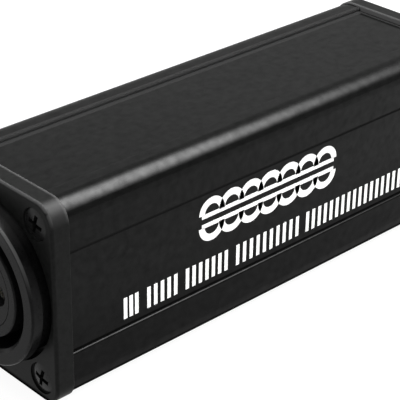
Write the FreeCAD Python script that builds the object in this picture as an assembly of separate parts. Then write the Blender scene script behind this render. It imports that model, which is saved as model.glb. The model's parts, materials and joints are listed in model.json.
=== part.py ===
import FreeCAD
import Part
import math
import os

# Inline audio isolator: a drawn aluminium case with an end plate at each end, a three-way socket in one
# plate, a three-way plug in the other, and a screened one-to-one transformer on a board between them.
# Millimetres. X runs along the case from the socket end to the plug end, Z is up, and the origin is
# under the middle of the case. Most shapes are drawn about the case's axis and lifted when saved.

# Contacts of both connectors
CONTACT_CIRCLE = 3.9
CONTACT_COUNT = 3
CONTACT_BORE = 1.2
CONTACT_WALL = 0.4
CONTACT_CLEARANCE = 0.05

# Connector shell, the same moulding at both ends, in steps outwards from the contacts
CORE_MARGIN = 0.95
CORE_GAP = 0.1
SLEEVE_WALL = 1.45
MATE_GAP = 1.7
BARREL_WALL = 0.9
SHOULDER_STEP = 0.9
LIP_STEP = 0.6
HOLE_GAP = 0.3
COLLAR_REACH = 2.9
LIP_LENGTH = 1.7
LIP_ROUND = 0.35
MOUTH_CHAMFER = 0.5
BARREL_DEPTH = 13.5
BACK_WALL = 2.0
TAB_THICKNESS = 1.6
TAB_CLEARANCE = 0.25

# Case section, built out from the collar's hole
RIM_BESIDE = 0.6
RIM_ABOVE = 3.1
PLATE_CORNER = 3.2
PLATE_OVERHANG = 0.25
TUBE_WALL = 1.7
CAVITY_CORNER = 1.0
PANEL_DEPTH = 0.5
SIDE_BORDER = 7.5
TOP_BORDER = 5.0
PANEL_EDGE_ROUND = 0.35

# Screw channels in the tube's corners, and the rails that hold the board
SCREW_INSET = 3.5
CHANNEL_RADIUS = 2.4
CHANNEL_BORE = 1.3
CHANNEL_SLOT = 1.2
RAIL_REACH = 1.45
RAIL_THICKNESS = 1.0
WALL_BITE = 0.4

# End plates and their screws
PLATE_THICKNESS = 3.0
PLATE_FRONT_ROUND = 0.5
PLATE_BACK_ROUND = 0.15
SCREW_HOLE_RADIUS = 1.4
SCREW_RADIUS = 1.25
SCREW_LENGTH = 10.0
SCREW_TIP_TAPER = 0.7
HEAD_RADIUS = 2.2
HEAD_SINK = 0.3
HEAD_CROWN = 0.3
HEAD_CONE = 1.0
SINK_CLEARANCE = 0.15
CROSS_LENGTH = 2.7
CROSS_WIDTH = 0.65
CROSS_DEPTH = 1.1
CROSS_TURN = 14.0

# Socket insert and its contacts
INSERT_SETBACK = 0.3
INSERT_ROUND = 0.3
SEAT_HEIGHT = 2.0
SEAT_CLEARANCE = 0.05
KEYWAY_WIDTH = 2.0
KEYWAY_DEPTH = 1.0
KEYWAY_LENGTH = 9.0
CONTACT_SETBACK = 1.2
CONTACT_BORE_LENGTH = 10.5
SLIT_WIDTH = 0.4
SLIT_LENGTH = 6.0
ENTRY_STEP = 0.2
ENTRY_FLARE = 0.4

# Solder tails behind both connectors
SHANK_LENGTH = 0.6
TAIL_RADIUS = 1.1
TAIL_LENGTH = 4.5
CUP_RADIUS = 0.65
CUP_DEPTH = 3.0

# Plug base, pins and key
BASE_THICKNESS = 4.5
BASE_FRONT = 2.5
PIN_RADIUS = 1.2
PIN_SETBACK = 2.0
PIN_NOSE = 0.6
PIN_ROOT_STEP = 0.2
KEY_WIDTH = 1.8
KEY_HEIGHT = 0.9
KEY_SETBACK = 1.5
LATCH_WIDTH = 4.0
LATCH_LENGTH = 2.5
LATCH_DEPTH = 0.5
LATCH_SETBACK = 6.5

# Board
BOARD_THICKNESS = 1.6
BOARD_LIFT = 6.95
BOARD_EDGE_GAP = 0.25
BOARD_END_GAP = 0.3
BOARD_SLOT_GAP = 0.05
LEG_RADIUS = 0.35
LEG_HOLE_GAP = 0.05
LEG_OFFSET = 0.3
LEG_PITCH_Y = 5.0
LEG_ROWS = 3
LEG_STANDOUT = 0.8

# Transformer core, coil and can
CORE_LENGTH = 18.4
CORE_YOKE = 2.6
CORE_STACK = 6.0
CENTRE_LEG = 4.4
SIDE_LEG = 2.2
WINDOW_SLACK = 0.25
CORE_LIFT = 0.2
BOBBIN_WALL = 0.5
BOBBIN_GAP = 0.05
BOBBIN_END_GAP = 0.2
FLANGE_THICKNESS = 0.7
FLANGE_MARGIN = 0.07
COIL_CORNER = 0.6
COIL_GAP = 0.02
PRIMARY_BUILD = 1.1
SCREEN_BUILD = 0.15
SECONDARY_BUILD = 1.0
TAPE_BUILD = 0.2
HEADER_THICKNESS = 1.2
CAN_END_ROOM = 1.8
CAN_SIDE_ROOM = 0.65
CAN_WALL = 0.6
CAN_CORNER = 1.6
CAN_HEADROOM = 0.3
CAN_FIT = 0.1
PAD_INSET = 2.0
PAD_GAP = 0.05

# Insulated leads from the tails to the board: reach past the tail and drift sideways, one pair each
LEAD_RADIUS = 0.5
LEAD_REACHES = (3.8, 7.6, 5.6)
LEAD_DRIFTS = (-1.3, 2.6, 0.5)
LEAD_CLEARANCE = 1.2
ARC_SHARE = 0.45

# How near two coordinates are when edges are picked
NEAR = 1e-6

# Radii of the connectors, from the contacts outwards
CONTACT_RADIUS = CONTACT_BORE + CONTACT_WALL
ENTRY_RADIUS = CONTACT_BORE + ENTRY_STEP
PIN_ROOT_RADIUS = PIN_RADIUS + PIN_ROOT_STEP
CORE_RADIUS = CONTACT_CIRCLE + CONTACT_RADIUS + CORE_MARGIN
INSERT_RADIUS = CORE_RADIUS + CORE_GAP + SLEEVE_WALL
SHELL_BORE = INSERT_RADIUS + MATE_GAP
BARREL_RADIUS = SHELL_BORE + BARREL_WALL
NECK_RADIUS = BARREL_RADIUS + SHOULDER_STEP
LIP_RADIUS = NECK_RADIUS + LIP_STEP
PLATE_HOLE_RADIUS = LIP_RADIUS + HOLE_GAP

# The transformer, from the coil's layers outwards: name and the thickness each layer builds up
COIL_LAYERS = (("primary_winding", PRIMARY_BUILD), ("winding_screen", SCREEN_BUILD),
               ("secondary_winding", SECONDARY_BUILD), ("coil_tape", TAPE_BUILD))
FLANGE_REACH = sum(build + COIL_GAP for _, build in COIL_LAYERS) + FLANGE_MARGIN
WINDOW_HEIGHT = BOBBIN_GAP + BOBBIN_WALL + FLANGE_REACH + WINDOW_SLACK
CORE_HEIGHT = CENTRE_LEG + 2 * WINDOW_HEIGHT + 2 * SIDE_LEG
CAN_LENGTH = CORE_LENGTH + 2 * (CAN_END_ROOM + CAN_WALL)
CAN_WIDTH = CORE_STACK + 2 * (BOBBIN_GAP + BOBBIN_WALL + FLANGE_REACH + CAN_SIDE_ROOM + CAN_WALL)
LEG_PITCH_X = CORE_LENGTH + 2 * LEG_OFFSET

# The case, from what it holds
SECTION_WIDTH = 2 * (PLATE_HOLE_RADIUS + RIM_BESIDE)
SECTION_HEIGHT = 2 * (PLATE_HOLE_RADIUS + RIM_ABOVE)
TAIL_END = BARREL_DEPTH + SHANK_LENGTH + TAIL_LENGTH
LEAD_ROOM = max(LEAD_REACHES) + LEAD_RADIUS + LEAD_CLEARANCE
TUBE_LENGTH = CAN_LENGTH + 2 * (LEAD_ROOM + TAIL_END)
HALF_TUBE = TUBE_LENGTH / 2
AXIS_HEIGHT = SECTION_HEIGHT / 2
TUBE_HALF_Y = SECTION_WIDTH / 2 - PLATE_OVERHANG
TUBE_HALF_Z = SECTION_HEIGHT / 2 - PLATE_OVERHANG
CAVITY_HALF_Y = TUBE_HALF_Y - TUBE_WALL
CAVITY_HALF_Z = TUBE_HALF_Z - TUBE_WALL
SIDE_PANEL_HALF = TUBE_HALF_Z - SIDE_BORDER
TOP_PANEL_HALF = TUBE_HALF_Y - TOP_BORDER
SCREW_Y = SECTION_WIDTH / 2 - SCREW_INSET
SCREW_Z = SECTION_HEIGHT / 2 - SCREW_INSET
TAB_HALF_WIDTH = SCREW_Y - CHANNEL_RADIUS - TAB_CLEARANCE
BOARD_TOP = BOARD_LIFT - CAVITY_HALF_Z
CAN_CEILING = BOARD_TOP + HEADER_THICKNESS + CORE_LIFT + CORE_HEIGHT + CAN_HEADROOM
COLLAR_FRONT = -PLATE_THICKNESS - COLLAR_REACH
SHELL_FLOOR = BARREL_DEPTH - BACK_WALL
INSERT_FRONT = COLLAR_FRONT + INSERT_SETBACK
CONTACT_FRONT = INSERT_FRONT + CONTACT_SETBACK
SCREW_PLACES = [(y * SCREW_Y, z * SCREW_Z) for y in (-1, 1) for z in (-1, 1)]
SOCKET_END, PLUG_END = -1, 1


# Basic shapes

def cylinder(radius, x0, x1, y=0.0, z=0.0):
    return Part.makeCylinder(radius, x1 - x0, FreeCAD.Vector(x0, y, z), FreeCAD.Vector(1, 0, 0))


def block(x0, x1, y0, y1, z0, z1):
    return Part.makeBox(x1 - x0, y1 - y0, z1 - z0, FreeCAD.Vector(x0, y0, z0))


def turned(points, y=0.0, z=0.0):
    """Turn a closed outline about the line through (y, z) along X. Each point is (x, radius), and a
    point of four numbers is an arc: the arc's middle (x, radius) and then its end (x, radius)."""
    edges = []
    last = FreeCAD.Vector(points[0][0], y + points[0][1], z)
    for point in list(points[1:]) + [points[0]]:
        end = FreeCAD.Vector(point[-2], y + point[-1], z)
        if len(point) == 4:
            middle = FreeCAD.Vector(point[0], y + point[1], z)
            edges.append(Part.Arc(last, middle, end).toShape())
        else:
            edges.append(Part.LineSegment(last, end).toShape())
        last = end
    face = Part.Face(Part.Wire(edges))
    return face.revolve(FreeCAD.Vector(0, y, z), FreeCAD.Vector(1, 0, 0), 360)


def quarter_round(corner_x, corner_r, radius, into_x):
    """Points of an outside corner at (corner_x, corner_r), rounded where an upright front face, reached
    along the radius, meets a length that runs towards into_x (+1 or -1)."""
    slack = radius * (1 - math.sqrt(0.5))
    return [(corner_x, corner_r - radius),
            (corner_x + into_x * slack, corner_r - slack, corner_x + into_x * radius, corner_r)]


def rounded_bar(half_y, half_z, corner, x0, x1):
    """A bar along X whose section is a rectangle with round corners."""
    bar = block(x0, x1, -half_y, half_y, -half_z, half_z)
    long_edges = [e for e in bar.Edges if e.BoundBox.XLength > NEAR]
    return bar.makeFillet(corner, long_edges)


def at_end(shape, end):
    """Carry a shape drawn with the tube's end face at x = 0 and the outside at -x to one end."""
    moved = shape.copy()
    if end == PLUG_END:
        moved.rotate(FreeCAD.Vector(0, 0, 0), FreeCAD.Vector(0, 0, 1), 180)
    moved.translate(FreeCAD.Vector(end * HALF_TUBE, 0, 0))
    return moved


def contact_places(end):
    """Where the three contacts lie on their circle. The plug's pins are drawn mirrored, so that both
    ends have them in the same places once the plug is turned to face the other way."""
    places = []
    for i in range(CONTACT_COUNT):
        angle = 2 * math.pi * i / CONTACT_COUNT
        places.append((end * CONTACT_CIRCLE * math.cos(angle), CONTACT_CIRCLE * math.sin(angle)))
    return places


# Case

def housing_tube():
    """The drawn tube: shallow panels outside, screw channels and board rails inside."""
    tube = rounded_bar(TUBE_HALF_Y, TUBE_HALF_Z, PLATE_CORNER - PLATE_OVERHANG, -HALF_TUBE, HALF_TUBE)
    for side in (-1, 1):
        y0, y1 = sorted((side * TUBE_HALF_Y, side * (TUBE_HALF_Y - PANEL_DEPTH)))
        z0, z1 = sorted((side * TUBE_HALF_Z, side * (TUBE_HALF_Z - PANEL_DEPTH)))
        tube = tube.cut(block(-HALF_TUBE, HALF_TUBE, y0, y1, -SIDE_PANEL_HALF, SIDE_PANEL_HALF))
        tube = tube.cut(block(-HALF_TUBE, HALF_TUBE, -TOP_PANEL_HALF, TOP_PANEL_HALF, z0, z1))
    tube = tube.makeFillet(PANEL_EDGE_ROUND, panel_edges(tube))
    tube = tube.cut(rounded_bar(CAVITY_HALF_Y, CAVITY_HALF_Z, CAVITY_CORNER, -HALF_TUBE, HALF_TUBE))
    tube = tube.fuse(screw_channels() + board_rails())
    for y, z in SCREW_PLACES:
        tube = tube.cut(cylinder(CHANNEL_BORE, -HALF_TUBE, HALF_TUBE, y, z))
        tube = tube.cut(channel_slot(y, z))
    return tube.removeSplitter()


def panel_edges(tube):
    """The long outer edges where a panel drops below the borders."""
    found = []
    for edge in tube.Edges:
        middle = edge.CenterOfMass
        y, z = abs(middle.y), abs(middle.z)
        on_side = abs(y - TUBE_HALF_Y) < NEAR and abs(z - SIDE_PANEL_HALF) < NEAR
        on_top = abs(z - TUBE_HALF_Z) < NEAR and abs(y - TOP_PANEL_HALF) < NEAR
        if on_side or on_top:
            found.append(edge)
    return found


def screw_channels():
    """A round rib in each corner of the cavity, kept inside the tube's outline."""
    inset = PANEL_DEPTH + WALL_BITE
    corner = PLATE_CORNER - PLATE_OVERHANG - inset
    outline = rounded_bar(TUBE_HALF_Y - inset, TUBE_HALF_Z - inset, corner, -HALF_TUBE, HALF_TUBE)
    return [cylinder(CHANNEL_RADIUS, -HALF_TUBE, HALF_TUBE, y, z).common(outline) for y, z in SCREW_PLACES]


def channel_slot(y, z):
    """The slot that opens a screw channel towards the case's axis, at 45 degrees."""
    reach = 2 * CHANNEL_RADIUS
    slot = block(-HALF_TUBE, HALF_TUBE, -reach, 0, -CHANNEL_SLOT / 2, CHANNEL_SLOT / 2)
    turn = math.degrees(math.atan2(math.copysign(1, z), math.copysign(1, y)))
    slot.rotate(FreeCAD.Vector(0, 0, 0), FreeCAD.Vector(1, 0, 0), turn)
    slot.translate(FreeCAD.Vector(0, y, z))
    return slot


def board_rails():
    """Two ribs on each side wall, with the board's edge between them."""
    rails = []
    inner = CAVITY_HALF_Y - RAIL_REACH
    upper = BOARD_TOP + BOARD_SLOT_GAP
    lower = BOARD_TOP - BOARD_THICKNESS - BOARD_SLOT_GAP
    for side in (-1, 1):
        y0, y1 = sorted((side * inner, side * (CAVITY_HALF_Y + WALL_BITE)))
        for z0 in (upper, lower - RAIL_THICKNESS):
            rails.append(block(-HALF_TUBE, HALF_TUBE, y0, y1, z0, z0 + RAIL_THICKNESS))
    return rails


def end_plate():
    """A flat plate with soft outer edges, the collar's hole and four countersunk screw holes."""
    plate = rounded_bar(SECTION_WIDTH / 2, SECTION_HEIGHT / 2, PLATE_CORNER, -PLATE_THICKNESS, 0)
    for x, radius in ((-PLATE_THICKNESS, PLATE_FRONT_ROUND), (0, PLATE_BACK_ROUND)):
        rim = [e for e in plate.Edges if max(abs(e.BoundBox.XMin - x), abs(e.BoundBox.XMax - x)) < NEAR]
        plate = plate.makeFillet(radius, rim)
    plate = plate.cut(cylinder(PLATE_HOLE_RADIUS, -PLATE_THICKNESS, 0))
    wide = HEAD_RADIUS + SINK_CLEARANCE
    cone_start = HEAD_SINK - PLATE_THICKNESS
    cone_end = cone_start + HEAD_CONE * (wide - SCREW_HOLE_RADIUS) / (HEAD_RADIUS - SCREW_RADIUS)
    for y, z in SCREW_PLACES:
        plate = plate.cut(turned([(-PLATE_THICKNESS, 0), (-PLATE_THICKNESS, wide), (cone_start, wide),
                                  (cone_end, SCREW_HOLE_RADIUS), (0, SCREW_HOLE_RADIUS), (0, 0)], y, z))
    return plate


def plate_screws():
    """Four countersunk screws with a low crown and a cross recess. Half way out, a shallow dome has
    lost a quarter of its height."""
    top = HEAD_SINK - PLATE_THICKNESS
    tip = top + SCREW_LENGTH
    crown = (top - HEAD_CROWN * 3 / 4, HEAD_RADIUS / 2, top, HEAD_RADIUS)
    screws = []
    for y, z in SCREW_PLACES:
        screw = turned([(top - HEAD_CROWN, 0), crown, (top + HEAD_CONE, SCREW_RADIUS),
                        (tip - SCREW_TIP_TAPER, SCREW_RADIUS), (tip, SCREW_RADIUS - SCREW_TIP_TAPER),
                        (tip, 0)], y, z)
        for arm in (0, 90):
            slot = block(top - HEAD_CROWN, top - HEAD_CROWN + CROSS_DEPTH,
                         -CROSS_LENGTH / 2, CROSS_LENGTH / 2, -CROSS_WIDTH / 2, CROSS_WIDTH / 2)
            slot.rotate(FreeCAD.Vector(0, 0, 0), FreeCAD.Vector(1, 0, 0), CROSS_TURN + arm)
            slot.translate(FreeCAD.Vector(0, y, z))
            screw = screw.cut(slot)
        screws.append(screw)
    return Part.makeCompound(screws)


# Connectors

def connector_shell(end):
    """The shell: a collar with a lip through the plate, two tabs behind the plate that keep it in,
    a round bore, and a back wall that the contacts pass through."""
    outline = [(COLLAR_FRONT, SHELL_BORE + MOUTH_CHAMFER)]
    outline += quarter_round(COLLAR_FRONT, LIP_RADIUS, LIP_ROUND, 1)
    lip_back = COLLAR_FRONT + LIP_LENGTH
    outline += [(lip_back, LIP_RADIUS), (lip_back, NECK_RADIUS), (0, NECK_RADIUS), (0, BARREL_RADIUS),
                (BARREL_DEPTH, BARREL_RADIUS), (BARREL_DEPTH, 0), (SHELL_FLOOR, 0),
                (SHELL_FLOOR, SHELL_BORE), (COLLAR_FRONT + MOUTH_CHAMFER, SHELL_BORE)]
    tab_reach = CAVITY_HALF_Z - TAB_CLEARANCE
    tabs = block(0, TAB_THICKNESS, -TAB_HALF_WIDTH, TAB_HALF_WIDTH, -tab_reach, tab_reach)
    tabs = tabs.cut(cylinder((SHELL_BORE + BARREL_RADIUS) / 2, 0, TAB_THICKNESS))
    shell = turned(outline).fuse(tabs)
    for y, z in contact_places(end):
        shell = shell.cut(cylinder(CONTACT_RADIUS + CONTACT_CLEARANCE, SHELL_FLOOR, BARREL_DEPTH, y, z))
    return shell.removeSplitter()


def socket_sleeve():
    """The outer ring of the socket's insert, with a foot that fills the shell's bore and a keyway."""
    foot = SHELL_FLOOR - SEAT_HEIGHT
    bore = CORE_RADIUS + CORE_GAP
    outline = [(INSERT_FRONT, bore)]
    outline += quarter_round(INSERT_FRONT, INSERT_RADIUS, INSERT_ROUND, 1)
    outline += [(foot, INSERT_RADIUS), (foot, SHELL_BORE - SEAT_CLEARANCE),
                (SHELL_FLOOR, SHELL_BORE - SEAT_CLEARANCE), (SHELL_FLOOR, bore)]
    keyway = block(INSERT_FRONT, INSERT_FRONT + KEYWAY_LENGTH, INSERT_RADIUS - KEYWAY_DEPTH,
                   INSERT_RADIUS + KEYWAY_DEPTH, -KEYWAY_WIDTH / 2, KEYWAY_WIDTH / 2)
    return turned(outline).cut(keyway)


def socket_core():
    """The round block that holds the contacts. The funnel in front of each narrows to less than the
    contact's outside."""
    core = cylinder(CORE_RADIUS, INSERT_FRONT, SHELL_FLOOR)
    seat = CONTACT_RADIUS + CONTACT_CLEARANCE
    for y, z in contact_places(SOCKET_END):
        core = core.cut(turned([(INSERT_FRONT, 0), (INSERT_FRONT, ENTRY_RADIUS + ENTRY_FLARE),
                                (CONTACT_FRONT, ENTRY_RADIUS), (CONTACT_FRONT, seat),
                                (SHELL_FLOOR, seat), (SHELL_FLOOR, 0)], y, z))
    return core


def solder_tail(y, z):
    """The thin tail with a cup in its end, behind the shell."""
    start = BARREL_DEPTH + SHANK_LENGTH
    tail = cylinder(TAIL_RADIUS, start, TAIL_END, y, z)
    return tail.cut(cylinder(CUP_RADIUS, TAIL_END - CUP_DEPTH, TAIL_END, y, z))


def socket_contact(y, z):
    """One socket contact: a slit tube in front, a solid shank and a solder tail."""
    contact = cylinder(CONTACT_RADIUS, CONTACT_FRONT, BARREL_DEPTH + SHANK_LENGTH, y, z)
    contact = contact.cut(cylinder(CONTACT_BORE, CONTACT_FRONT, CONTACT_FRONT + CONTACT_BORE_LENGTH, y, z))
    slit = block(CONTACT_FRONT, CONTACT_FRONT + SLIT_LENGTH, y - SLIT_WIDTH / 2, y + SLIT_WIDTH / 2,
                 z - CONTACT_RADIUS, z + CONTACT_RADIUS)
    return contact.cut(slit).fuse(solder_tail(y, z)).removeSplitter()


def plug_shell():
    """The plug's shell: the common shell with a key and a latch pocket inside its bore."""
    shell = connector_shell(PLUG_END)
    base_front = SHELL_FLOOR - BASE_THICKNESS
    wall = (SHELL_BORE + BARREL_RADIUS) / 2
    key = block(COLLAR_FRONT + KEY_SETBACK, base_front, -wall, -SHELL_BORE + KEY_HEIGHT,
                -KEY_WIDTH / 2, KEY_WIDTH / 2)
    start = COLLAR_FRONT + LATCH_SETBACK
    pocket = block(start, start + LATCH_LENGTH, SHELL_BORE - LATCH_DEPTH, SHELL_BORE + LATCH_DEPTH,
                   -LATCH_WIDTH / 2, LATCH_WIDTH / 2)
    return shell.fuse(key).cut(pocket).removeSplitter()


def plug_base():
    """The round block at the bottom of the plug's bore that holds the pins."""
    front = SHELL_FLOOR - BASE_THICKNESS
    step = front + BASE_FRONT
    base = cylinder(SHELL_BORE - SEAT_CLEARANCE, front, SHELL_FLOOR)
    narrow = PIN_ROOT_RADIUS + CONTACT_CLEARANCE
    seat = CONTACT_RADIUS + CONTACT_CLEARANCE
    for y, z in contact_places(PLUG_END):
        base = base.cut(cylinder(narrow, front, step, y, z)).cut(cylinder(seat, step, SHELL_FLOOR, y, z))
    return base


def plug_pin(y, z):
    """One plug pin: a round-nosed pin, a thicker root and a shoulder in the base, and a solder tail."""
    tip = COLLAR_FRONT + PIN_SETBACK
    front = SHELL_FLOOR - BASE_THICKNESS
    step = front + BASE_FRONT
    outline = [(tip, 0)] + quarter_round(tip, PIN_RADIUS, PIN_NOSE, 1)
    outline += [(front, PIN_RADIUS), (front, PIN_ROOT_RADIUS), (step, PIN_ROOT_RADIUS),
                (step, CONTACT_RADIUS), (BARREL_DEPTH + SHANK_LENGTH, CONTACT_RADIUS),
                (BARREL_DEPTH + SHANK_LENGTH, 0)]
    return turned(outline, y, z).fuse(solder_tail(y, z)).removeSplitter()


# Board and leads

def leg_places():
    rows = [LEG_PITCH_Y * (i - (LEG_ROWS - 1) / 2) for i in range(LEG_ROWS)]
    return [(side * LEG_PITCH_X / 2, y) for side in (-1, 1) for y in rows]


def upright(radius, x, y, z0, z1):
    return Part.makeCylinder(radius, z1 - z0, FreeCAD.Vector(x, y, z0))


def with_leg_holes(plate):
    """Cut the holes that the transformer's legs pass through."""
    low, high = plate.BoundBox.ZMin, plate.BoundBox.ZMax
    for x, y in leg_places():
        plate = plate.cut(upright(LEG_RADIUS + LEG_HOLE_GAP, x, y, low, high))
    return plate


def circuit_board():
    """The board, held by its long edges in the rails and between the two shells' backs."""
    half_x = HALF_TUBE - BARREL_DEPTH - BOARD_END_GAP
    half_y = CAVITY_HALF_Y - BOARD_EDGE_GAP
    return with_leg_holes(block(-half_x, half_x, -half_y, half_y, BOARD_TOP - BOARD_THICKNESS, BOARD_TOP))


def transformer_legs():
    low = BOARD_TOP - BOARD_THICKNESS - LEG_STANDOUT
    return Part.makeCompound([upright(LEG_RADIUS, x, y, low, BOARD_TOP + HEADER_THICKNESS)
                              for x, y in leg_places()])


def bent_path(points):
    """Straight runs through the points, joined by arcs as large as the shorter run beside each allows."""
    edges, last = [], points[0]
    for before, corner, after in zip(points, points[1:], points[2:]):
        back, ahead = before - corner, after - corner
        half_turn = (math.pi - back.getAngle(ahead)) / 2
        trim = ARC_SHARE * min(back.Length, ahead.Length)
        radius = trim / math.tan(half_turn)
        back.normalize()
        ahead.normalize()
        start, end = corner + back * trim, corner + ahead * trim
        inward = (back + ahead).normalize()
        middle = corner + inward * (radius / math.cos(half_turn) - radius)
        edges += [Part.LineSegment(last, start).toShape(), Part.Arc(start, middle, end).toShape()]
        last = end
    edges.append(Part.LineSegment(last, points[-1]).toShape())
    return Part.Wire(edges)


def lead(place, reach, drift):
    """An insulated lead: straight out of a tail's cup, sideways, and down to the board."""
    y, z = place
    start = FreeCAD.Vector(TAIL_END, y, z)
    out = FreeCAD.Vector(TAIL_END + reach / 2, y, z)
    over = FreeCAD.Vector(TAIL_END + reach, y + drift, z)
    foot = FreeCAD.Vector(TAIL_END + reach, y + drift, BOARD_TOP)
    path = bent_path([start, out, over, foot])
    ring = Part.Wire([Part.Circle(start, out - start, LEAD_RADIUS).toShape()])
    return path.makePipeShell([ring], True, False)


# Transformer

def core_e_stack():
    """The stack of E sheets: a yoke and three legs, the middle one inside the coil."""
    half_x, half_y, half_z = CORE_LENGTH / 2, CORE_STACK / 2, CORE_HEIGHT / 2
    stack = block(-half_x, half_x - CORE_YOKE, -half_y, half_y, -half_z, half_z)
    for side in (-1, 1):
        z0, z1 = sorted((side * CENTRE_LEG / 2, side * (CENTRE_LEG / 2 + WINDOW_HEIGHT)))
        stack = stack.cut(block(-half_x + CORE_YOKE, half_x - CORE_YOKE, -half_y, half_y, z0, z1))
    return stack


def core_i_stack():
    """The stack of I sheets that closes the E's open side."""
    half_x, half_y, half_z = CORE_LENGTH / 2, CORE_STACK / 2, CORE_HEIGHT / 2
    return block(half_x - CORE_YOKE, half_x, -half_y, half_y, -half_z, half_z)


def bobbin():
    """The coil former: a square sleeve on the centre leg with a flange at each end."""
    hole_y, hole_z = CORE_STACK / 2 + BOBBIN_GAP, CENTRE_LEG / 2 + BOBBIN_GAP
    outer_y, outer_z = hole_y + BOBBIN_WALL, hole_z + BOBBIN_WALL
    half_x = CORE_LENGTH / 2 - CORE_YOKE - BOBBIN_END_GAP
    former = rounded_bar(outer_y, outer_z, COIL_CORNER, -half_x, half_x)
    flange_y, flange_z = outer_y + FLANGE_REACH, outer_z + FLANGE_REACH
    for side in (-1, 1):
        x0, x1 = sorted((side * half_x, side * (half_x - FLANGE_THICKNESS)))
        former = former.fuse(block(x0, x1, -flange_y, flange_y, -flange_z, flange_z))
    return former.cut(block(-half_x, half_x, -hole_y, hole_y, -hole_z, hole_z)).removeSplitter()


def coil_layer(below, build):
    """A layer wound at the height below over the former, as a round-cornered square ring."""
    half_x = CORE_LENGTH / 2 - CORE_YOKE - BOBBIN_END_GAP - FLANGE_THICKNESS - COIL_GAP
    start_y = CORE_STACK / 2 + BOBBIN_GAP + BOBBIN_WALL + COIL_GAP
    start_z = CENTRE_LEG / 2 + BOBBIN_GAP + BOBBIN_WALL + COIL_GAP
    corner = COIL_CORNER + COIL_GAP + below
    outer = rounded_bar(start_y + below + build, start_z + below + build, corner + build, -half_x, half_x)
    inner = rounded_bar(start_y + below, start_z + below, corner, -half_x, half_x)
    return outer.cut(inner)


def transformer_header():
    """The insulating plate under the core that carries the legs."""
    half_x = CAN_LENGTH / 2 - CAN_WALL - CAN_FIT
    half_y = CAN_WIDTH / 2 - CAN_WALL - CAN_FIT
    header = block(-half_x, half_x, -half_y, half_y, BOARD_TOP, BOARD_TOP + HEADER_THICKNESS)
    corners = [e for e in header.Edges if e.BoundBox.XLength < NEAR and e.BoundBox.YLength < NEAR]
    return with_leg_holes(header.makeFillet(CAN_CORNER - CAN_WALL, corners))


def shield_can():
    """The drawn steel can over the transformer, open below, with round edges."""
    top = CAN_CEILING + CAN_WALL
    can = block(-CAN_LENGTH / 2, CAN_LENGTH / 2, -CAN_WIDTH / 2, CAN_WIDTH / 2, BOARD_TOP, top)
    rounds = [e for e in can.Edges if e.CenterOfMass.z > BOARD_TOP + NEAR]
    can = can.makeFillet(CAN_CORNER, rounds)
    hollow = block(-CAN_LENGTH / 2 + CAN_WALL, CAN_LENGTH / 2 - CAN_WALL,
                   -CAN_WIDTH / 2 + CAN_WALL, CAN_WIDTH / 2 - CAN_WALL, BOARD_TOP, top - CAN_WALL)
    rounds = [e for e in hollow.Edges if e.CenterOfMass.z > BOARD_TOP + NEAR]
    return can.cut(hollow.makeFillet(CAN_CORNER - CAN_WALL, rounds))


def foam_pad():
    """The pad that holds the can down under the tube's roof."""
    half_x, half_y = CAN_LENGTH / 2 - PAD_INSET, CAN_WIDTH / 2 - PAD_INSET
    return block(-half_x, half_x, -half_y, half_y, CAN_CEILING + CAN_WALL, CAVITY_HALF_Z - PAD_GAP)


# Assembly

def case_nodes():
    yield "housing_tube", housing_tube()
    for end, suffix in ((SOCKET_END, "in"), (PLUG_END, "out")):
        yield f"end_plate_{suffix}", at_end(end_plate(), end)
        yield f"plate_screws_{suffix}", at_end(plate_screws(), end)


def connector_nodes():
    yield "socket_shell", at_end(connector_shell(SOCKET_END), SOCKET_END)
    yield "socket_sleeve", at_end(socket_sleeve(), SOCKET_END)
    yield "socket_core", at_end(socket_core(), SOCKET_END)
    for number, place in enumerate(contact_places(SOCKET_END), 1):
        yield f"socket_contact_{number}", at_end(socket_contact(*place), SOCKET_END)
    yield "plug_shell", at_end(plug_shell(), PLUG_END)
    yield "plug_base", at_end(plug_base(), PLUG_END)
    for number, place in enumerate(contact_places(PLUG_END), 1):
        yield f"plug_pin_{number}", at_end(plug_pin(*place), PLUG_END)


def lead_nodes():
    for end, suffix in ((SOCKET_END, "in"), (PLUG_END, "out")):
        for number, place in enumerate(contact_places(end), 1):
            reach, drift = LEAD_REACHES[number - 1], LEAD_DRIFTS[number - 1]
            yield f"lead_{suffix}_{number}", at_end(lead(place, reach, -end * drift), end)


def transformer_nodes():
    yield "circuit_board", circuit_board()
    yield "transformer_header", transformer_header()
    yield "transformer_legs", transformer_legs()
    coil_axis = FreeCAD.Vector(0, 0, BOARD_TOP + HEADER_THICKNESS + CORE_LIFT + CORE_HEIGHT / 2)
    coil = [("core_e_stack", core_e_stack()), ("core_i_stack", core_i_stack()), ("bobbin", bobbin())]
    below = 0.0
    for name, build in COIL_LAYERS:
        coil.append((name, coil_layer(below, build)))
        below += build + COIL_GAP
    for name, shape in coil:
        shape.translate(coil_axis)
        yield name, shape
    yield "shield_can", shield_can()
    yield "foam_pad", foam_pad()


def save(name, shape):
    """Lift the shape from the case's axis to the ground and write it."""
    lifted = shape.copy()
    lifted.translate(FreeCAD.Vector(0, 0, AXIS_HEIGHT))
    lifted.exportStep(f"parts/{name}.step")
    box = lifted.optimalBoundingBox(False)
    print(f"{name}: {len(lifted.Solids)} solid(s), valid {lifted.isValid()}, {lifted.Volume:.1f} mm3, "
          f"x {box.XMin:.2f} to {box.XMax:.2f}, y {box.YMin:.2f} to {box.YMax:.2f}, "
          f"z {box.ZMin:.2f} to {box.ZMax:.2f}")


def main():
    os.makedirs("parts", exist_ok=True)
    for group in (case_nodes, connector_nodes, lead_nodes, transformer_nodes):
        for name, shape in group():
            save(name, shape)


main()
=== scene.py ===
import functools
import json
import math

import bpy
import numpy as np
from bpy.props import FloatProperty, FloatVectorProperty, IntProperty, PointerProperty
from mathutils import Matrix, Vector


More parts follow.
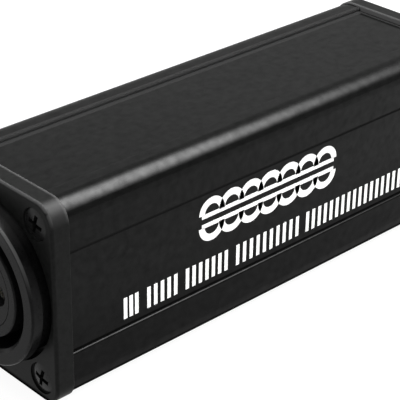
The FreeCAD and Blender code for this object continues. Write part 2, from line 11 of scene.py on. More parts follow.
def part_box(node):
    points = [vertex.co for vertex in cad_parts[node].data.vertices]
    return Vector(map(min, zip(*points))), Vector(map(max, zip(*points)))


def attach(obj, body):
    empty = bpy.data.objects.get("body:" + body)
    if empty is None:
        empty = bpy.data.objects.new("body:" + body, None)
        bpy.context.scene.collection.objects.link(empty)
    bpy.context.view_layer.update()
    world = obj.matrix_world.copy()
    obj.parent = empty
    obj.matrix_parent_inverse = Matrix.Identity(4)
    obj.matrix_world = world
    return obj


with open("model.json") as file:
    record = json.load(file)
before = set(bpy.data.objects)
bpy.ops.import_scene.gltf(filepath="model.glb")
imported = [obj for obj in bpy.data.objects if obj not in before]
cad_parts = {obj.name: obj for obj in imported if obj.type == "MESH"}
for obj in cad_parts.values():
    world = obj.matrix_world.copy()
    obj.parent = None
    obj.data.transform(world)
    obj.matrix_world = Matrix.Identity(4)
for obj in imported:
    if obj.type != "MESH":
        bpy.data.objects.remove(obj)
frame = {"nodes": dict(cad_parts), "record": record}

bl_info = {
    "name": "Inline Audio Isolator",
    "version": (1, 0, 0),
    "blender": (4, 5, 0),
    "location": "View3D > Sidebar > Isolator",
    "description": "Finishes, print and studio for an inline audio isolator",
    "category": "Object",
}

BODY = "root"
MM = 0.001

# Camera and floor: the picture's side in pixels, the sensor's width in millimetres, and in metres the
# nearest and farthest distance that the lens sees and half the floor's side
PHOTO_SIDE = 400
SENSOR = 36.0
LENS_RANGE = (0.01, 20.0)
FLOOR_HALF = 3.0

# Soft boxes: four corners in metres, ramps of a place on the sheet and its share of the light, and how many
# points lie along each side of the sheet
KEY_CORNERS = ((0.467, -0.841, 0.519), (1.210, -0.717, 0.286), (0.119, 0.774, 1.181), (0.862, 0.394, 0.744))
KEY_UP = ((0.0, 0.02), (0.1, 0.2), (0.18, 0.5), (0.26, 0.82), (0.35, 0.98), (0.45, 1.0), (0.55, 0.88),
          (0.62, 0.68), (0.7, 0.48), (0.83, 0.3), (1.0, 0.2))
KEY_ACROSS = ((0.0, 0.0), (0.06, 0.6), (0.12, 1.0), (0.17, 1.0), (0.25, 0.78), (0.36, 0.38), (0.47, 0.13),
              (0.57, 0.05), (0.7, 0.02), (1.0, 0.0))
BACK_CORNERS = ((-0.72, 0.72, 0.62), (0.38, 0.92, 0.74), (-0.52, 0.40, 1.12), (0.24, 0.52, 1.24))
BACK_FADE = ((0.0, 0.0), (0.25, 1.0), (0.75, 1.0), (1.0, 0.0))
SHEET_STEPS = 9

# Gloss of the black coatings, and how much of the case's is left as its surface turns away from the eye,
# a painted shade that keeps its edges dark
CASE_GLOSS = 0.083
PLATE_GLOSS = 0.05
MOULDED_GLOSS = 0.055
SCREW_GLOSS = 0.13
GLANCE = ((0.0, 1.0), (0.58, 1.0), (0.7, 0.5), (0.8, 0.12), (0.9, 0.0), (1.0, 0.0))

# Colour of the contacts' plating
SILVER = (0.78, 0.76, 0.71)

# Print: where each group of bars starts and ends along the case in millimetres, and the place and width of
# the symbol's two middle lines as shares of its stroke
ROW_RUNS = ((-30.0, -27.3), (-25.7, -20.0), (-18.4, -10.1), (-8.4, 4.8), (6.4, 31.0))
CORE_PLACE = 0.7
CORE_WIDTH = 0.6


def far_corner(node):
    """A node's highest corner in millimetres: its end along the case, its side and its top."""
    return [round(value / MM, 3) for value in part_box(node)[1]]


# Sizes of the solids that their boxes don't give, and of the gaskets, in millimetres
SIDE_BORDER = 7.5
TOP_BORDER = 5.0
LIP_STEP = 0.6
HOLE_GAP = 0.3
GASKET_GAP = 0.03
GASKET_DEPTH = 0.57

# Edges and radii that finishes and pieces are placed from, in millimetres
CASE_END, CASE_SIDE, CASE_TOP = far_corner("housing_tube")
PLATE_END, PLATE_SIDE, PLATE_TOP = far_corner("end_plate_out")
COLLAR_END, COLLAR_RADIUS = far_corner("plug_shell")[:2]
CONNECTOR_AXIS = PLATE_TOP / 2
COLLAR_TOP = CONNECTOR_AXIS + COLLAR_RADIUS
FRONT_PANEL_TOP = CASE_TOP - SIDE_BORDER
TOP_PANEL_SIDE = CASE_SIDE - TOP_BORDER
COLLAR_NECK = COLLAR_RADIUS - LIP_STEP
PLATE_HOLE = COLLAR_RADIUS + HOLE_GAP


# Settings that a user would change

class FinishSettings(bpy.types.PropertyGroup):
    """Colours and roughness of the finishes"""
    case_colour: FloatVectorProperty(
        name="Case", description="Black anodised aluminium of the drawn case",
        subtype="COLOR", size=3, min=0, max=1, default=(0.002, 0.0021, 0.002))
    plate_colour: FloatVectorProperty(
        name="End plates", description="Black finish of the two end plates",
        subtype="COLOR", size=3, min=0, max=1, default=(0.006, 0.0062, 0.006))
    shell_colour: FloatVectorProperty(
        name="Connector shells", description="Black moulded plastic of the collars",
        subtype="COLOR", size=3, min=0, max=1, default=(0.004, 0.004, 0.0041))
    insert_colour: FloatVectorProperty(
        name="Connector inserts", description="Black moulded plastic around the contacts",
        subtype="COLOR", size=3, min=0, max=1, default=(0.004, 0.004, 0.0041))
    screw_colour: FloatVectorProperty(
        name="Screws", description="Blackened steel of the plate screws",
        subtype="COLOR", size=3, min=0, max=1, default=(0.006, 0.006, 0.006))
    metal_roughness: FloatProperty(
        name="Case roughness", description="How widely the case spreads a reflection",
        subtype="FACTOR", min=0, max=1, default=0.16)
    plate_roughness: FloatProperty(
        name="Plate roughness", description="How widely the end plates spread a reflection",
        subtype="FACTOR", min=0, max=1, default=0.4)
    plastic_roughness: FloatProperty(
        name="Plastic roughness", description="How widely the mouldings spread a reflection",
        subtype="FACTOR", min=0, max=1, default=0.3)


class PrintSettings(bpy.types.PropertyGroup):
    """Sizes, places and colour of the print on the front panel"""
    ink_colour: FloatVectorProperty(
        name="Ink", description="White screen print on the front panel",
        subtype="COLOR", size=3, min=0, max=1, default=(0.87, 0.87, 0.86))
    film: FloatProperty(
        name="Film", description="How far the print stands off the panel",
        unit="LENGTH", min=0.000005, default=0.02 * MM)
    panel_depth: FloatProperty(
        name="Panel depth", description="How deep the front panel lies behind the case's borders",
        unit="LENGTH", default=0.5 * MM)
    symbol_left: FloatProperty(
        name="Symbol start", description="Where the transformer symbol starts along the case",
        unit="LENGTH", default=-15.4 * MM)
    symbol_right: FloatProperty(
        name="Symbol end", description="Where the transformer symbol ends along the case",
        unit="LENGTH", default=11.9 * MM)
    symbol_height: FloatProperty(
        name="Symbol height", description="Height of the transformer symbol's middle over the ground",
        unit="LENGTH", default=18.7 * MM)
    symbol_gap: FloatProperty(
        name="Symbol gap", description="Distance from the symbol's middle to each row of loops",
        unit="LENGTH", default=1.0 * MM)
    stroke: FloatProperty(
        name="Stroke", description="Width of the printed lines",
        unit="LENGTH", default=1.1 * MM)
    loops: IntProperty(
        name="Loops", description="Half circles in each row of the transformer symbol",
        min=2, default=7)
    row_height: FloatProperty(
        name="Row height", description="Height of the small bars' middle over the ground",
        unit="LENGTH", default=10.6 * MM)
    bar_height: FloatProperty(
        name="Bar height", description="Height of each small bar",
        unit="LENGTH", default=3.4 * MM)
    bar_width: FloatProperty(
        name="Bar width", description="Width of each small bar",
        unit="LENGTH", default=0.65 * MM)
    bar_pitch: FloatProperty(
        name="Bar pitch", description="Distance from bar to bar within a group",
        unit="LENGTH", default=1.35 * MM)


class StudioSettings(bpy.types.PropertyGroup):
    """Place of the camera, the floor's colour and the strength of the lights"""
    camera_place: FloatVectorProperty(
        name="Camera place", description="Where the camera stands, from under the case's middle",
        subtype="XYZ", unit="LENGTH", size=3, default=(-143.332 * MM, -146.004 * MM, 123.306 * MM))
    azimuth: FloatProperty(
        name="Azimuth", description="Direction that the camera looks from, round the case",
        subtype="ANGLE", unit="ROTATION", default=math.radians(-42.452))
    elevation: FloatProperty(
        name="Elevation", description="How far the camera looks down",
        subtype="ANGLE", unit="ROTATION", default=math.radians(28.663))
    roll: FloatProperty(
        name="Roll", description="Turn of the camera about its own line of sight",
        subtype="ANGLE", unit="ROTATION", default=math.radians(0.278))
    focal_pixels: FloatProperty(
        name="Focal length", description="Focal length in pixels of the picture",
        min=1, default=1512.60)
    centre_pixels: FloatVectorProperty(
        name="Picture centre", description="Where the line of sight meets the picture, in pixels",
        size=2, default=(172.73, 201.13))
    floor_colour: FloatVectorProperty(
        name="Floor", description="Pale studio floor",
        subtype="COLOR", size=3, min=0, max=1, default=(0.1, 0.1, 0.1))
    floor_light: FloatProperty(
        name="Floor light", description="Light from under the translucent floor",
        min=0, default=0.93)
    room_light: FloatProperty(
        name="Room light", description="Even light from all round",
        min=0, default=0.69)
    key_light: FloatProperty(
        name="Key light", description="Radiance at the brightest part of the soft box over the right side",
        min=0, default=40.0)
    back_light: FloatProperty(
        name="Back light", description="Radiance of the soft box behind the left side",
        min=0, default=7.0)


# Surfaces

def new_mesh(name, points, faces, material):
    """Make a mesh object from an array of points and a list of faces."""
    mesh = bpy.data.meshes.new(name)
    mesh.from_pydata(points.reshape(-1, 3).tolist(), [], faces)
    mesh.validate()
    mesh.update()
    mesh.materials.append(material)
    made = bpy.data.objects.new(name, mesh)
    bpy.context.scene.collection.objects.link(made)
    return made


def new_piece(name, points, faces, material, slot):
    """Make a piece of the part, which rides on the case."""
    piece = new_mesh(name, points, faces, material)
    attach(piece, BODY)


def grid_faces(rows, columns, tube=False, ring=False):
    """Quads between neighbouring points of a grid. On a tube the last column also joins the first, and on a
    ring the last row joins the first too."""
    row, column = np.meshgrid(np.arange(rows if ring else rows - 1),
                              np.arange(columns if tube or ring else columns - 1), indexing="ij")
    ahead, beside = (row + 1) % rows, (column + 1) % columns
    quads = np.stack([row * columns + column, row * columns + beside,
                      ahead * columns + beside, ahead * columns + column], axis=-1)
    return quads.reshape(-1, 4).tolist()


def tube_faces(rings, around):
    """Quads between neighbouring rings of points, and a flat cap at each end."""
    first = np.arange(around)[::-1]
    last = np.arange(around) + (rings - 1) * around
    return grid_faces(rings, around, tube=True) + [first.tolist(), last.tolist()]


def turned_ring(section, around=96):
    """A closed section of corners, each a place along the case and a radius in millimetres, turned about
    the connectors' axis: y is the radius times the cosine of the turn, and z is the axis's height plus the
    radius times its sine."""
    turn = np.arange(around) * 2 * math.pi / around
    place, radius = np.array(section).T * MM
    points = np.stack([np.tile(place, (around, 1)), np.outer(np.cos(turn), radius),
                       CONNECTOR_AXIS * MM + np.outer(np.sin(turn), radius)], axis=-1)
    return points, grid_faces(around, len(section), ring=True)


def print_stroke(line, width, film, face_y):
    """A printed line: at each point of the line in the panel's plane the normal is the tangent turned by a
    right angle, the edges lie half a width to each side of it, and the film stands off the panel."""
    tangent = np.gradient(line, axis=0)
    tangent /= np.linalg.norm(tangent, axis=1, keepdims=True)
    normal = np.stack([-tangent[:, 1], tangent[:, 0]], axis=1)
    left, right = line + normal * width / 2, line - normal * width / 2
    on, off = np.full(len(line), face_y), np.full(len(line), face_y - film)
    corners = [(left, on), (left, off), (right, off), (right, on)]
    points = np.stack([np.stack([edge[:, 0], y, edge[:, 1]], axis=1) for edge, y in corners], axis=1)
    return points, tube_faces(len(line), len(corners))


def loop_row(start, end, height, count, side, steps=24):
    """A row of half circles from start to end: each turns from its left foot over to its right foot, above
    the line for side 1 and below it for side -1."""
    radius = (end - start) / count / 2
    turn = np.tile(np.linspace(0, math.pi, steps), count)
    centre = start + radius * (2 * np.repeat(np.arange(count), steps) + 1)
    return np.stack([centre - radius * np.cos(turn), height + side * radius * np.sin(turn)], axis=1)


# Finishes

def add_node(material, kind, **inputs):
    """A node with its inputs set. An underscore in an input's name stands for a space."""
    node = material.node_tree.nodes.new(kind)
    for name, value in inputs.items():
        node.inputs[name.replace("_", " ")].default_value = value
    return node


def blend_values(material, how, first, second=0.0):
    """A Math node of two sockets or numbers, of which some kinds use only the first."""
    node = material.node_tree.nodes.new("ShaderNodeMath")
    node.operation = how
    for entry, value in zip(node.inputs, (first, second)):
        if isinstance(value, bpy.types.NodeSocket):
            material.node_tree.links.new(value, entry)
        else:
            entry.default_value = value
    return node.outputs["Value"]


def overlap(material, *masks):
    """1 where every mask is 1: their product."""
    return functools.reduce(functools.partial(blend_values, material, "MULTIPLY"), masks)


def either(material, first, second):
    """1 where one of the masks is 1: the larger of the two."""
    return blend_values(material, "MAXIMUM", first, second)


def brightness_ramp(tree, stops, blend="B_SPLINE"):
    """A ramp of greys through the stops, each a place and a level."""
    ramp = tree.nodes.new("ShaderNodeValToRGB")
    ramp.color_ramp.interpolation = blend
    elements = ramp.color_ramp.elements
    for _ in stops[2:]:
        elements.new(0.5)
    for element, (place, level) in zip(elements, stops):
        element.position = place
        element.color = (level, level, level, 1)
    return ramp


def grain_finish(name, colour, roughness, specular=0.5, metallic=0.0, grain=900.0, stretch=(1, 1, 1),
                 shade=0.35, relief=0.02, spread=0.1):
    """A satin finish: fine noise shades the colour between darker and lighter, moves the roughness up and
    down a little and raises a faint relief. The grain is in waves per metre, the relief in millimetres."""
    material = bpy.data.materials.new(name)
    material.use_nodes = True
    tree = material.node_tree
    shader = tree.nodes["Principled BSDF"]
    shader.inputs["Metallic"].default_value = metallic
    shader.inputs["Specular IOR Level"].default_value = specular
    place = tree.nodes.new("ShaderNodeTexCoord")
    mapping = add_node(material, "ShaderNodeMapping", Scale=stretch)
    noise = add_node(material, "ShaderNodeTexNoise", Scale=grain, Detail=3.0, Roughness=0.6)
    ramp = tree.nodes.new("ShaderNodeValToRGB")
    dark_end, light_end = ramp.color_ramp.elements
    dark_end.position, light_end.position = 0.3, 0.7
    dark_end.color = (*(part * (1 - shade) for part in colour), 1)
    light_end.color = (*(min(1.0, part * (1 + shade)) for part in colour), 1)
    rough = add_node(material, "ShaderNodeMapRange", To_Min=roughness - spread, To_Max=roughness + spread)
    bump = add_node(material, "ShaderNodeBump", Strength=0.5, Distance=relief * MM)
    link = tree.links.new
    link(place.outputs["Object"], mapping.inputs["Vector"])
    link(mapping.outputs["Vector"], noise.inputs["Vector"])
    link(noise.outputs["Fac"], ramp.inputs["Fac"])
    link(ramp.outputs["Color"], shader.inputs["Base Color"])
    link(noise.outputs["Fac"], rough.inputs["Value"])
    link(rough.outputs["Result"], shader.inputs["Roughness"])
    link(noise.outputs["Fac"], bump.inputs["Height"])
    link(bump.outputs["Normal"], shader.inputs["Normal"])
    return material


def paint_glancing_shade(material, specular):
    """Gloss that dies out where the surface turns away: full face on, none at a glancing view. This is
    painted shade, which keeps the edges dark where they would reflect the bright floor. Soft noise makes it
    a little uneven."""
    tree = material.node_tree
    facing = add_node(material, "ShaderNodeLayerWeight", Blend=0.5)
    ramp = brightness_ramp(tree, [(place, level * specular) for place, level in GLANCE], "LINEAR")
    place = tree.nodes.new("ShaderNodeTexCoord")
    cloud = add_node(material, "ShaderNodeTexNoise", Scale=800.0, Detail=2.0)
    uneven = add_node(material, "ShaderNodeMapRange", To_Min=0.5, To_Max=1.5)
    link = tree.links.new
    link(facing.outputs["Facing"], ramp.inputs["Fac"])
    link(place.outputs["Object"], cloud.inputs["Vector"])
    link(cloud.outputs["Fac"], uneven.inputs["Value"])
    gloss = blend_values(material, "MULTIPLY", ramp.outputs["Color"], uneven.outputs["Result"])
    link(gloss, tree.nodes["Principled BSDF"].inputs["Specular IOR Level"])


def place_along(material, axis, folded=False):
    """A point's place along one of the object's own axes. Folded gives its distance from the middle, so
    that both sides are treated alike."""
    tree = material.node_tree
    place = tree.nodes.new("ShaderNodeTexCoord")
    split = tree.nodes.new("ShaderNodeSeparateXYZ")
    tree.links.new(place.outputs["Object"], split.inputs["Vector"])
    return blend_values(material, "ABSOLUTE", split.outputs[axis]) if folded else split.outputs[axis]


def place_from_axis(material):
    """A point's distance from the axis of the two connectors: the root of the sum of the two squares."""
    across = place_along(material, "Y")
    rise = blend_values(material, "SUBTRACT", place_along(material, "Z"), CONNECTOR_AXIS * MM)
    squares = [blend_values(material, "MULTIPLY", side, side) for side in (across, rise)]
    return blend_values(material, "SQRT", blend_values(material, "ADD", *squares))


def band(material, along, edge, below=0.0, above=0.0, soft=0.0):
    """1 from below the edge to above it, in millimetres, and smoothly down to 0 over the soft width beyond:
    a point's distance from the middle of the band fades past half the band's width."""
    middle, half = (edge + (above - below) / 2) * MM, (above + below) / 2 * MM
    away = blend_values(material, "ABSOLUTE", blend_values(material, "SUBTRACT", along, middle))
    fade = add_node(material, "ShaderNodeMapRange", From_Min=half, From_Max=half + soft * MM,
                    To_Min=1.0, To_Max=0.0)
    fade.interpolation_type = "SMOOTHSTEP"
    material.node_tree.links.new(away, fade.inputs["Value"])
    return fade.outputs["Result"]


def named_socket(sockets, identifier):
    """One of a Mix node's sockets, several of which share a name."""
    return next(socket for socket in sockets if socket.identifier == identifier)


def touch_up(material, mask, shade, gloss=1.0):
    """Where the mask is 1 the colour is a plain grey of that shade, and the gloss is multiplied."""
    tree = material.node_tree
    shader = tree.nodes["Principled BSDF"]
    mix = tree.nodes.new("ShaderNodeMix")
    mix.data_type = "RGBA"
    named_socket(mix.inputs, "B_Color").default_value = (shade, shade, shade, 1)
    tree.links.new(mask, mix.inputs["Factor"])
    tree.links.new(shader.inputs["Base Color"].links[0].from_socket, named_socket(mix.inputs, "A_Color"))
    tree.links.new(named_socket(mix.outputs, "Result_Color"), shader.inputs["Base Color"])
    level = shader.inputs["Specular IOR Level"]
    loss = blend_values(material, "MULTIPLY", mask, 1 - gloss)
    kept = blend_values(material, "SUBTRACT", 1.0, loss)
    source = level.links[0].from_socket if level.links else level.default_value
    tree.links.new(blend_values(material, "MULTIPLY", source, kept), level)


def soft_box_glow(name, radiance, across, up, room):
    """A soft box's glow: a ramp across the sheet times a ramp up it, on top of the room's own light, so
    that its dark margin doesn't show."""
    material = bpy.data.materials.new(name)
    material.use_nodes = True
    tree = material.node_tree
    tree.nodes.clear()
    sheet = tree.nodes.new("ShaderNodeTexCoord")
    split = tree.nodes.new("ShaderNodeSeparateXYZ")
    link = tree.links.new
    link(sheet.outputs["UV"], split.inputs["Vector"])
    level = radiance
    for axis, stops in (("X", across), ("Y", up)):
        ramp = brightness_ramp(tree, stops)
        link(split.outputs[axis], ramp.inputs["Fac"])
        level = blend_values(material, "MULTIPLY", ramp.outputs["Color"], level)
    shine = tree.nodes.new("ShaderNodeEmission")
    output = tree.nodes.new("ShaderNodeOutputMaterial")
    link(blend_values(material, "ADD", level, room), shine.inputs["Strength"])
    link(shine.outputs["Emission"], output.inputs["Surface"])
    return material


def dress(nodes, material):
    """Give CAD nodes a finish."""
    for name in nodes:
        for slot in frame["nodes"][name].material_slots:
            slot.material = material


# Pieces

class ISOLATOR_OT_case(bpy.types.Operator):
    """Finish the drawn case and the two end plates"""
    bl_idname = "isolator.case"
    bl_label = "Case and plates"

    def execute(self, context):
        finish = context.scene.isolator_finish
        case = grain_finish("case_anodised", finish.case_colour, finish.metal_roughness,
                            specular=CASE_GLOSS, grain=1500.0, stretch=(0.35, 1, 1), spread=0.03,
                            relief=0.003)
        plate = grain_finish("plate_black", finish.plate_colour, finish.plate_roughness,
                             specular=PLATE_GLOSS, grain=1800.0, spread=0.04, relief=0.003)
        # Painted shade at the case's glancing edges, in its recesses and at its foot, and painted
        # highlights on the plates
        paint_glancing_shade(case, CASE_GLOSS)
        self.paint_recess_shade(case)
        self.paint_plate_highlights(plate)
        self.paint_foot_shade(case, plate, finish.case_colour[0])
        dress(["housing_tube"], case)
        dress(["end_plate_in", "end_plate_out"], plate)
        return {"FINISHED"}

    def paint_recess_shade(self, case):
        """Painted shade in the corners of the recessed panels, where the gloss is taken away and the colour
        is a
        plain grey: along the top one's back and ends, and along the front one's upper edge."""
        ends, sides = place_along(case, "X", True), place_along(case, "Y", True)
        across, height = place_along(case, "Y"), place_along(case, "Z")
        end = overlap(case, band(case, ends, CASE_END, below=0.5, above=0.1, soft=0.5),
                      band(case, sides, TOP_PANEL_SIDE, below=TOP_PANEL_SIDE, above=-0.15, soft=0.1))
        back = band(case, across, TOP_PANEL_SIDE, below=0.75, above=0.55, soft=0.3)
        upper = band(case, height, CASE_TOP, below=0.75, above=0.25, soft=0.2)
        front = overlap(case, band(case, height, FRONT_PANEL_TOP, below=0.25, above=0.35, soft=0.2),
                        band(case, across, -CASE_SIDE, below=0.25, above=0.55, soft=0.1))
        touch_up(case, overlap(case, either(case, back, end), upper), shade=0.02, gloss=0.0)
        touch_up(case, front, shade=0.009, gloss=0.0)

    def paint_plate_highlights(self, plate):
        """Painted highlights on each plate: the upper part of its two outer edges and the face that stands
        over the recess are painted lighter, and its upper corners get a lighter grey and more gloss."""
        ends, sides = place_along(plate, "X", True), place_along(plate, "Y", True)
        height = place_along(plate, "Z")
        corner = overlap(plate, band(plate, height, PLATE_TOP, below=1.7, above=1.0, soft=1.6),
                         band(plate, sides, PLATE_SIDE, below=1.5, above=1.0, soft=1.5),
                         band(plate, ends, PLATE_END, below=3.5, above=-0.15, soft=0.1))
        edges = either(plate, band(plate, ends, CASE_END, above=0.25, soft=0.3),
                       band(plate, ends, PLATE_END, below=0.4, above=-0.1, soft=0.09))
        rim = either(plate, band(plate, height, PLATE_TOP, below=0.8, above=0.1, soft=0.3),
                     band(plate, sides, PLATE_SIDE, below=0.8, above=0.1, soft=0.3))
        upper = band(plate, height, PLATE_TOP, below=1.0, above=1.0, soft=2.2)
        face = overlap(plate, band(plate, ends, CASE_END, below=0.1, above=0.02, soft=0.03),
                       band(plate, height, PLATE_TOP, below=0.8, above=0.1, soft=0.2))
        touch_up(plate, corner, shade=0.012, gloss=2.4)
        touch_up(plate, overlap(plate, edges, rim, upper), shade=0.042)
        touch_up(plate, face, shade=0.13)

    def paint_foot_shade(self, case, plate, case_shade):
        """Painted shade at the foot: the case loses gloss towards its foot, and the lowest edge of the case
        and of each plate is painted dark."""
        case_height, plate_height = place_along(case, "Z"), place_along(plate, "Z")
        touch_up(case, band(case, case_height, 0.0, above=5.0, soft=14.0), shade=case_shade, gloss=0.62)
        touch_up(case, band(case, case_height, 0.0, above=1.8, soft=1.4), shade=0.004, gloss=0.0)
        touch_up(plate, band(plate, plate_height, 0.0, above=0.6, soft=0.6), shade=0.001, gloss=0.0)


class ISOLATOR_OT_screws(bpy.types.Operator):
    """Finish the eight plate screws"""
    bl_idname = "isolator.screws"
    bl_label = "Plate screws"

    def execute(self, context):
        finish = context.scene.isolator_finish
        steel = grain_finish("screw_black", finish.screw_colour, roughness=0.3, specular=SCREW_GLOSS,
                             grain=2500.0, relief=0.003)
        dress(["plate_screws_in", "plate_screws_out"], steel)
        return {"FINISHED"}


class ISOLATOR_OT_connectors(bpy.types.Operator):
    """Finish the socket, the plug and their contacts, and lay a gasket round each collar"""
    bl_idname = "isolator.connectors"
    bl_label = "Connectors"

    def execute(self, context):
        finish = context.scene.isolator_finish
        shell = self.moulding("shell_plastic", finish.shell_colour, finish.plastic_roughness)
        insert = self.moulding("insert_plastic", finish.insert_colour, finish.plastic_roughness)
        # Painted light: the collars' upper side and the outer edge of the lip are lighter
        self.paint_collar_light(shell)
        silver = grain_finish("contact_silver", SILVER, roughness=0.28, metallic=1.0, grain=3000.0,
                              shade=0.08)
        dress(["socket_shell", "plug_shell"], shell)
        dress(["socket_sleeve", "socket_core", "plug_base"], insert)
        dress([name for name in frame["nodes"] if name.startswith(("socket_contact", "plug_pin"))], silver)
        self.gaskets(shell)
        return {"FINISHED"}

    def moulding(self, name, colour, roughness):
        """Black moulded plastic with a fine even grain."""
        return grain_finish(name, colour, roughness, specular=MOULDED_GLOSS, grain=2200.0, relief=0.005)

    def paint_collar_light(self, shell):
        """Painted light on each collar: its upper side is painted lighter, and the outer edge of its lip
        there carries a painted highlight.
        """
        ends, height = place_along(shell, "X", True), place_along(shell, "Z")
        radius = place_from_axis(shell)
        upper = band(shell, height, COLLAR_TOP, below=0.6, above=2.4, soft=4.0)
        lip = overlap(shell, band(shell, radius, COLLAR_RADIUS, below=0.35, above=0.05, soft=0.1),
                      band(shell, ends, COLLAR_END, below=0.4, above=-0.1, soft=0.1),
                      band(shell, height, COLLAR_TOP, below=1.6, above=2.4, soft=8.0))
        touch_up(shell, upper, shade=0.022, gloss=0.8)
        touch_up(shell, lip, shade=0.09)

    def gaskets(self, shell):
        """A ring at the bottom of the groove between each collar's neck and the hole in its plate."""
        inside, outside = COLLAR_NECK + GASKET_GAP, PLATE_HOLE - GASKET_GAP
        back, front = CASE_END + GASKET_GAP, CASE_END + GASKET_GAP + GASKET_DEPTH
        section = ((back, inside), (back, outside), (front, outside), (front, inside))
        for name, side in (("in", -1), ("out", 1)):
            turned = [(side * along, radius) for along, radius in section[::-side]]
            new_piece(f"collar_gasket_{name}", *turned_ring(turned), shell, "shell_plastic")


class ISOLATOR_OT_print(bpy.types.Operator):
    """Print a transformer symbol and a row of plain bars on the front panel"""
    bl_idname = "isolator.print"
    bl_label = "Front print"

    def execute(self, context):
        mark = context.scene.isolator_print
        ink = grain_finish("print_white", mark.ink_colour, roughness=0.5, grain=2500.0, shade=0.06,
                           relief=0.005)
        face_y = mark.panel_depth - CASE_SIDE * MM
        for name, line, width in self.strokes(mark):
            points, faces = print_stroke(line, width, mark.film, face_y)
            new_piece(name, points, faces, ink, "case_anodised")
        return {"FINISHED"}

    def strokes(self, mark):
        """Each printed line's name, points and width: the symbol's two rows of loops, the two lines between
        them, and the bars of each group at even distances from its start to its end."""
        left, right, height = mark.symbol_left, mark.symbol_right, mark.symbol_height
        for name, side in (("upper", 1), ("lower", -1)):
            row = loop_row(left, right, height + side * mark.symbol_gap, mark.loops, side)
            yield f"print_loops_{name}", row, mark.stroke
        for name, side in (("upper", 1), ("lower", -1)):
            z = height + side * mark.stroke * CORE_PLACE
            yield f"print_core_{name}", np.array([(left, z), (right, z)]), mark.stroke * CORE_WIDTH
        foot, head = (mark.row_height + side * mark.bar_height / 2 for side in (-1, 1))
        for group, (start, end) in enumerate(ROW_RUNS, 1):
            start, end = start * MM + mark.bar_width / 2, end * MM - mark.bar_width / 2
            count = 1 + round((end - start) / mark.bar_pitch)
            for number, x in enumerate(np.linspace(start, end, count), 1):
                yield f"print_bar_{group}_{number}", np.array([(x, foot), (x, head)]), mark.bar_width


class ISOLATOR_OT_insides(bpy.types.Operator):
    """Finish the board, the leads and the transformer inside the case"""
    bl_idname = "isolator.insides"
    bl_label = "Insides"

    def execute(self, context):
        named = {row["slot"]: row["base_color"][:3] for row in frame["record"]["materials"]}
        plain = ("board_green", "header_plastic", "bobbin_nylon", "tape_yellow", "foam_grey",
                 "lead_black", "lead_red", "lead_white")
        metal = ("leg_tinned", "core_alloy", "winding_copper", "screen_copper", "can_steel")
        made = {slot: grain_finish(slot, named[slot], roughness=0.5, shade=0.2) for slot in plain}
        for slot in metal:
            made[slot] = grain_finish(slot, named[slot], roughness=0.35, metallic=1.0, shade=0.15)
        for part in frame["record"]["subparts"]:
            if part["material_slot"] in made:
                dress([part["node"]], made[part["material_slot"]])
        return {"FINISHED"}


def camera_axes(studio):
    """Right, up and back of the camera: back points from the case to the camera, right is level, and both
    right and up turn by the roll."""
    turn, lift = studio.azimuth, studio.elevation
    back = Vector((math.sin(turn) * math.cos(lift), -math.cos(turn) * math.cos(lift), math.sin(lift)))
    right = Vector((0, 0, 1)).cross(back).normalized()
    up = back.cross(right)
    cosine, sine = math.cos(studio.roll), math.sin(studio.roll)
    return right * cosine + up * sine, up * cosine - right * sine, back


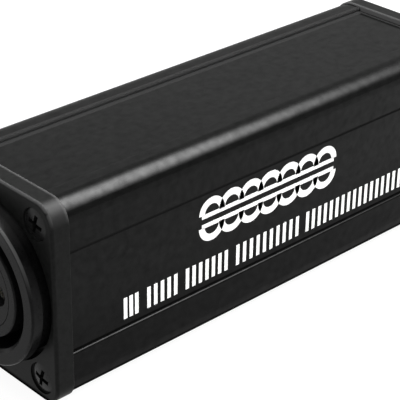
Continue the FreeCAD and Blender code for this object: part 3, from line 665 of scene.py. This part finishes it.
class ISOLATOR_OT_stage(bpy.types.Operator):
    """Set the floor, the lights and the camera"""
    bl_idname = "isolator.stage"
    bl_label = "Studio"

    def execute(self, context):
        studio = context.scene.isolator_studio
        context.scene.view_settings.view_transform = "Standard"
        self.floor(studio)
        self.room(context.scene, studio.room_light)
        self.soft_box("key_light", KEY_CORNERS, KEY_ACROSS, KEY_UP, studio.key_light, studio.room_light)
        self.soft_box("back_light", BACK_CORNERS, BACK_FADE, BACK_FADE, studio.back_light,
                      studio.room_light)
        self.camera(context.scene, studio)
        return {"FINISHED"}

    def floor(self, studio):
        """A square floor that also glows by itself."""
        material = grain_finish("studio_floor", studio.floor_colour, roughness=0.8, specular=0.0,
                                grain=60.0, shade=0.02)
        shader = material.node_tree.nodes["Principled BSDF"]
        shader.inputs["Emission Color"].default_value = (1, 1, 1, 1)
        shader.inputs["Emission Strength"].default_value = studio.floor_light
        corners = np.array([(-1, -1, 0), (1, -1, 0), (1, 1, 0), (-1, 1, 0)]) * FLOOR_HALF
        floor = new_mesh("floor", corners, [(0, 1, 2, 3)], material)

    def room(self, scene, light):
        """A white room of even light."""
        world = bpy.data.worlds.new("studio_room")
        world.use_nodes = True
        background = world.node_tree.nodes["Background"]
        background.inputs["Color"].default_value = (1, 1, 1, 1)
        background.inputs["Strength"].default_value = light
        scene.world = world

    def soft_box(self, name, corners, fade_across, fade_up, radiance, room):
        """A soft box: a four-cornered glowing sheet. Each point is the blend of its corners by its shares
        across and up, and the same shares are its UV map."""
        steps = np.linspace(0, 1, SHEET_STEPS)
        across, up = np.meshgrid(steps, steps)
        shares = np.stack([(1 - across) * (1 - up), across * (1 - up),
                           (1 - across) * up, across * up], axis=-1)
        faces = grid_faces(SHEET_STEPS, SHEET_STEPS)
        glow = soft_box_glow(f"{name}_glow", radiance, fade_across, fade_up, room)
        sheet = new_mesh(name, shares @ np.array(corners), faces, glow)
        corner = np.array(faces).ravel()
        layer = sheet.data.uv_layers.new(name="sheet")
        places = np.stack([across.ravel()[corner], up.ravel()[corner]], axis=1)
        layer.data.foreach_set("uv", places.ravel())

    def camera(self, scene, studio):
        """The camera stands where the photograph's did: the lens is as many pictures wide as its focal
        length, and its shift brings the line of sight to the picture's centre."""
        lens = bpy.data.cameras.new("camera")
        lens.sensor_width = SENSOR
        lens.lens = studio.focal_pixels / PHOTO_SIDE * SENSOR
        lens.shift_x = (PHOTO_SIDE / 2 - studio.centre_pixels[0]) / PHOTO_SIDE
        lens.shift_y = (studio.centre_pixels[1] - PHOTO_SIDE / 2) / PHOTO_SIDE
        lens.clip_start, lens.clip_end = LENS_RANGE
        camera = bpy.data.objects.new("camera", lens)
        turn = Matrix(camera_axes(studio)).transposed()
        camera.matrix_world = Matrix.Translation(Vector(studio.camera_place)) @ turn.to_4x4()
        scene.collection.objects.link(camera)
        scene.camera = camera


SETTINGS = {"isolator_finish": FinishSettings, "isolator_print": PrintSettings,
            "isolator_studio": StudioSettings}
STEPS = (ISOLATOR_OT_case, ISOLATOR_OT_screws, ISOLATOR_OT_connectors, ISOLATOR_OT_insides,
         ISOLATOR_OT_print, ISOLATOR_OT_stage)


class ISOLATOR_PT_panel(bpy.types.Panel):
    """Lists the isolator's steps and settings"""
    bl_idname = "ISOLATOR_PT_panel"
    bl_label = "Inline isolator"
    bl_space_type = "VIEW_3D"
    bl_region_type = "UI"
    bl_category = "Isolator"

    def draw(self, context):
        for operator in STEPS:
            self.layout.operator(operator.bl_idname)
        for settings in SETTINGS:
            group = getattr(context.scene, settings)
            box = self.layout.box()
            for name in group.bl_rna.properties.keys():
                if name not in ("rna_type", "name"):
                    box.prop(group, name)


def register():
    """Make the settings, the steps and the panel known to Blender."""
    for kind in (*SETTINGS.values(), *STEPS, ISOLATOR_PT_panel):
        bpy.utils.register_class(kind)
    for name, group in SETTINGS.items():
        setattr(bpy.types.Scene, name, PointerProperty(type=group))


def unregister():
    """Undo what register does."""
    for name in SETTINGS:
        delattr(bpy.types.Scene, name)
    for kind in (*SETTINGS.values(), *STEPS, ISOLATOR_PT_panel):
        bpy.utils.unregister_class(kind)


def main():
    """Finish the part's nodes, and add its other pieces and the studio."""
    bpy.context.view_layer.update()
    register()
    for step in STEPS:
        group, name = step.bl_idname.split(".")
        getattr(getattr(bpy.ops, group), name)()
    bpy.context.view_layer.update()


if __name__ == "__main__":
    main()
